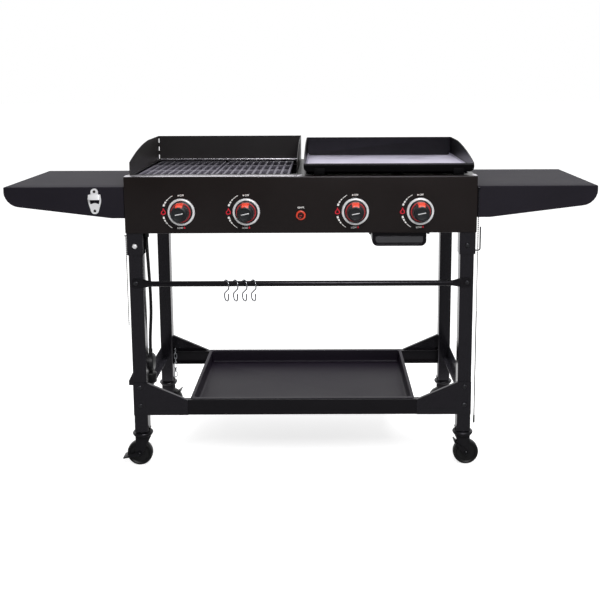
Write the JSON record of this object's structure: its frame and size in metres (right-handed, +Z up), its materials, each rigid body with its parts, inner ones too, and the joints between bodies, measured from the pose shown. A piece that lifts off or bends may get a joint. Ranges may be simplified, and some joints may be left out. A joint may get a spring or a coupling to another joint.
{
  "type": "gas grill and griddle combo",
  "caption": "Gas grill and griddle combo on a wheeled cart: open grates beside a raised griddle over burners, folding side shelves, tool bar with hooks and a storage tray.",
  "frame": {"origin": "on the floor, under the middle of the cart's overall box", "axes": "+X to the right seen from the front, +Y to the back, +Z up; the control panel faces -Y"},
  "size_m": [1.69, 0.533, 0.951],
  "materials": {
    "powder_coat": "satin black powder coat",
    "griddle_steel": "seasoned steel",
    "enamelled_iron": "porcelain enamel",
    "bare_steel": "plain galvanised",
    "brass": "machined",
    "chrome": "polished",
    "zinc_wire": "bright zinc plate",
    "knob_plastic": "satin moulded",
    "red_plastic": "moulded",
    "caster_steel": "black paint",
    "caster_rubber": "moulded",
    "hose_rubber": "extruded",
    "regulator_cast": "painted die casting",
    "nut_plastic": "moulded"
  },
  "bodies": {
    "cart": {"control_panel": "powder_coat", "firebox": "powder_coat", "grill_windscreen": "powder_coat", "flame_tamers": "bare_steel", "burner_tubes": "bare_steel", "gas_manifold": "bare_steel", "gas_valves": "brass", "knob_bezels": "chrome", "igniter_housing": "red_plastic", "shelf_hinges": "powder_coat", "grease_tray_rails": "powder_coat", "front_legs": "powder_coat", "rear_legs": "powder_coat", "leg_brackets": "powder_coat", "leg_bolts": "powder_coat", "tool_bar": "powder_coat", "gusset_plates": "powder_coat", "cross_rails": "powder_coat", "side_rails": "powder_coat", "caster_stems": "caster_steel", "leg_fittings": "powder_coat", "gas_hose": "hose_rubber", "regulator": "regulator_cast", "tank_nut": "nut_plastic"},
    "grate_left": {"grate_left": "enamelled_iron"},
    "grate_right": {"grate_right": "enamelled_iron"},
    "griddle": {"griddle_plate": "griddle_steel"},
    "bottom_tray": {"bottom_tray": "powder_coat"},
    "grease_tray": {"grease_tray": "powder_coat"},
    "igniter_button": {"igniter_button": "knob_plastic"},
    "left_shelf": {"left_shelf": "powder_coat", "bottle_opener": "chrome"},
    "right_shelf": {"right_shelf": "powder_coat"},
    "lighting_stick": {"lighting_stick": "zinc_wire"},
    "tether_chain": {"tether_chain": "zinc_wire"},
    "tank_chain": {"tank_chain": "zinc_wire"},
    "spring_seat_1": {"valve_washer_1": "bare_steel"},
    "knob_1": {"knob_1": "knob_plastic"},
    "spring_seat_2": {"valve_washer_2": "bare_steel"},
    "knob_2": {"knob_2": "knob_plastic"},
    "spring_seat_3": {"valve_washer_3": "bare_steel"},
    "knob_3": {"knob_3": "knob_plastic"},
    "spring_seat_4": {"valve_washer_4": "bare_steel"},
    "knob_4": {"knob_4": "knob_plastic"},
    "tool_hook_1": {"tool_hook_1": "zinc_wire"},
    "tool_hook_2": {"tool_hook_2": "zinc_wire"},
    "tool_hook_3": {"tool_hook_3": "zinc_wire"},
    "tool_hook_4": {"tool_hook_4": "zinc_wire"},
    "caster_fork_front_left": {"caster_fork_front_left": "caster_steel"},
    "caster_wheel_front_left": {"caster_wheel_front_left": "caster_rubber"},
    "caster_brake_front_left": {"caster_brake_front_left": "caster_steel"},
    "caster_fork_front_right": {"caster_fork_front_right": "caster_steel"},
    "caster_wheel_front_right": {"caster_wheel_front_right": "caster_rubber"},
    "caster_brake_front_right": {"caster_brake_front_right": "caster_steel"},
    "caster_fork_rear_left": {"caster_fork_rear_left": "caster_steel"},
    "caster_wheel_rear_left": {"caster_wheel_rear_left": "caster_rubber"},
    "caster_brake_rear_left": {"caster_brake_rear_left": "caster_steel"},
    "caster_fork_rear_right": {"caster_fork_rear_right": "caster_steel"},
    "caster_wheel_rear_right": {"caster_wheel_rear_right": "caster_rubber"},
    "caster_brake_rear_right": {"caster_brake_rear_right": "caster_steel"}
  },
  "joints": [
    {"name": "knob_1_push", "type": "slide", "parent": "cart", "child": "spring_seat_1", "axis": [0, 1, 0], "range_m": [0, 0.004], "stiffness_N_per_m": 2000},
    {"name": "knob_1_turn", "type": "hinge", "parent": "spring_seat_1", "child": "knob_1", "pos_m": [-0.34, -0.2195, 0.769], "axis": [0, -1, 0], "range_deg": [0, 180]},
    {"name": "knob_2_push", "type": "slide", "parent": "cart", "child": "spring_seat_2", "axis": [0, 1, 0], "range_m": [0, 0.004], "stiffness_N_per_m": 2000},
    {"name": "knob_2_turn", "type": "hinge", "parent": "spring_seat_2", "child": "knob_2", "pos_m": [-0.155, -0.2195, 0.769], "axis": [0, -1, 0], "range_deg": [0, 180]},
    {"name": "knob_3_push", "type": "slide", "parent": "cart", "child": "spring_seat_3", "axis": [0, 1, 0], "range_m": [0, 0.004], "stiffness_N_per_m": 2000},
    {"name": "knob_3_turn", "type": "hinge", "parent": "spring_seat_3", "child": "knob_3", "pos_m": [0.155, -0.2195, 0.769], "axis": [0, -1, 0], "range_deg": [0, 180]},
    {"name": "knob_4_push", "type": "slide", "parent": "cart", "child": "spring_seat_4", "axis": [0, 1, 0], "range_m": [0, 0.004], "stiffness_N_per_m": 2000},
    {"name": "knob_4_turn", "type": "hinge", "parent": "spring_seat_4", "child": "knob_4", "pos_m": [0.34, -0.2195, 0.769], "axis": [0, -1, 0], "range_deg": [0, 180]},
    {"name": "igniter_push", "type": "slide", "parent": "cart", "child": "igniter_button", "axis": [0, 1, 0], "range_m": [0, 0.005], "stiffness_N_per_m": 1200},
    {"name": "left_shelf_fold", "type": "hinge", "parent": "cart", "child": "left_shelf", "pos_m": [-0.506, -0.0045, 0.84], "axis": [0, 1, 0], "range_deg": [0, 90]},
    {"name": "right_shelf_fold", "type": "hinge", "parent": "cart", "child": "right_shelf", "pos_m": [0.506, -0.0045, 0.84], "axis": [0, -1, 0], "range_deg": [0, 90]},
    {"name": "grate_left_lift", "type": "slide", "parent": "cart", "child": "grate_left", "axis": [0, 0, 1], "range_m": [0, 0.12]},
    {"name": "grate_right_lift", "type": "slide", "parent": "cart", "child": "grate_right", "axis": [0, 0, 1], "range_m": [0, 0.12]},
    {"name": "griddle_lift", "type": "slide", "parent": "cart", "child": "griddle", "axis": [0, 0, 1], "range_m": [0, 0.2]},
    {"name": "bottom_tray_lift", "type": "slide", "parent": "cart", "child": "bottom_tray", "axis": [0, 0, 1], "range_m": [0, 0.12]},
    {"name": "grease_tray_slide", "type": "slide", "parent": "cart", "child": "grease_tray", "axis": [0, -1, 0], "range_m": [0, 0.12]},
    {"name": "tool_hook_1_swing", "type": "hinge", "parent": "cart", "child": "tool_hook_1", "pos_m": [-0.216, -0.2195, 0.56], "axis": [1, 0, 0], "range_deg": [-30, 30]},
    {"name": "tool_hook_2_swing", "type": "hinge", "parent": "cart", "child": "tool_hook_2", "pos_m": [-0.19, -0.2195, 0.56], "axis": [1, 0, 0], "range_deg": [-30, 30]},
    {"name": "tool_hook_3_swing", "type": "hinge", "parent": "cart", "child": "tool_hook_3", "pos_m": [-0.164, -0.2195, 0.56], "axis": [1, 0, 0], "range_deg": [-30, 30]},
    {"name": "tool_hook_4_swing", "type": "hinge", "parent": "cart", "child": "tool_hook_4", "pos_m": [-0.138, -0.2195, 0.56], "axis": [1, 0, 0], "range_deg": [-30, 30]},
    {"name": "caster_swivel_front_left", "type": "hinge", "parent": "cart", "child": "caster_fork_front_left", "pos_m": [-0.477, -0.1915, 0.098], "axis": [0, 0, 1], "continuous": true},
    {"name": "caster_roll_front_left", "type": "hinge", "parent": "caster_fork_front_left", "child": "caster_wheel_front_left", "pos_m": [-0.487, -0.1915, 0.0375], "axis": [0, 1, 0], "continuous": true},
    {"name": "caster_brake_front_left", "type": "hinge", "parent": "caster_fork_front_left", "child": "caster_brake_front_left", "pos_m": [-0.487, -0.1915, 0.0375], "axis": [0, 1, 0], "range_deg": [0, 60]},
    {"name": "caster_swivel_front_right", "type": "hinge", "parent": "cart", "child": "caster_fork_front_right", "pos_m": [0.477, -0.1915, 0.098], "axis": [0, 0, 1], "continuous": true},
    {"name": "caster_roll_front_right", "type": "hinge", "parent": "caster_fork_front_right", "child": "caster_wheel_front_right", "pos_m": [0.487, -0.1915, 0.0375], "axis": [0, 1, 0], "continuous": true},
    {"name": "caster_brake_front_right", "type": "hinge", "parent": "caster_fork_front_right", "child": "caster_brake_front_right", "pos_m": [0.487, -0.1915, 0.0375], "axis": [0, 1, 0], "range_deg": [-60, 0]},
    {"name": "caster_swivel_rear_left", "type": "hinge", "parent": "cart", "child": "caster_fork_rear_left", "pos_m": [-0.477, 0.2365, 0.098], "axis": [0, 0, 1], "continuous": true},
    {"name": "caster_roll_rear_left", "type": "hinge", "parent": "caster_fork_rear_left", "child": "caster_wheel_rear_left", "pos_m": [-0.467, 0.2365, 0.0375], "axis": [0, 1, 0], "continuous": true},
    {"name": "caster_brake_rear_left", "type": "hinge", "parent": "caster_fork_rear_left", "child": "caster_brake_rear_left", "pos_m": [-0.467, 0.2365, 0.0375], "axis": [0, 1, 0], "range_deg": [0, 60]},
    {"name": "caster_swivel_rear_right", "type": "hinge", "parent": "cart", "child": "caster_fork_rear_right", "pos_m": [0.477, 0.2365, 0.098], "axis": [0, 0, 1], "continuous": true},
    {"name": "caster_roll_rear_right", "type": "hinge", "parent": "caster_fork_rear_right", "child": "caster_wheel_rear_right", "pos_m": [0.467, 0.2365, 0.0375], "axis": [0, 1, 0], "continuous": true},
    {"name": "caster_brake_rear_right", "type": "hinge", "parent": "caster_fork_rear_right", "child": "caster_brake_rear_right", "pos_m": [0.467, 0.2365, 0.0375], "axis": [0, 1, 0], "range_deg": [0, 60]},
    {"name": "lighting_stick_swing", "type": "hinge", "parent": "cart", "child": "lighting_stick", "pos_m": [0.5056, -0.2181, 0.836], "axis": [-1, 0, 0], "range_deg": [0, 30]},
    {"name": "tether_chain_swing", "type": "hinge", "parent": "cart", "child": "tether_chain", "pos_m": [-0.5056, -0.1975, 0.697], "axis": [1, 0, 0], "range_deg": [-20, 20]},
    {"name": "tank_chain_swing", "type": "hinge", "parent": "cart", "child": "tank_chain", "pos_m": [-0.449, 0.2265, 0.2187], "axis": [-1, 0, 0], "range_deg": [0, 25]}
  ]
}
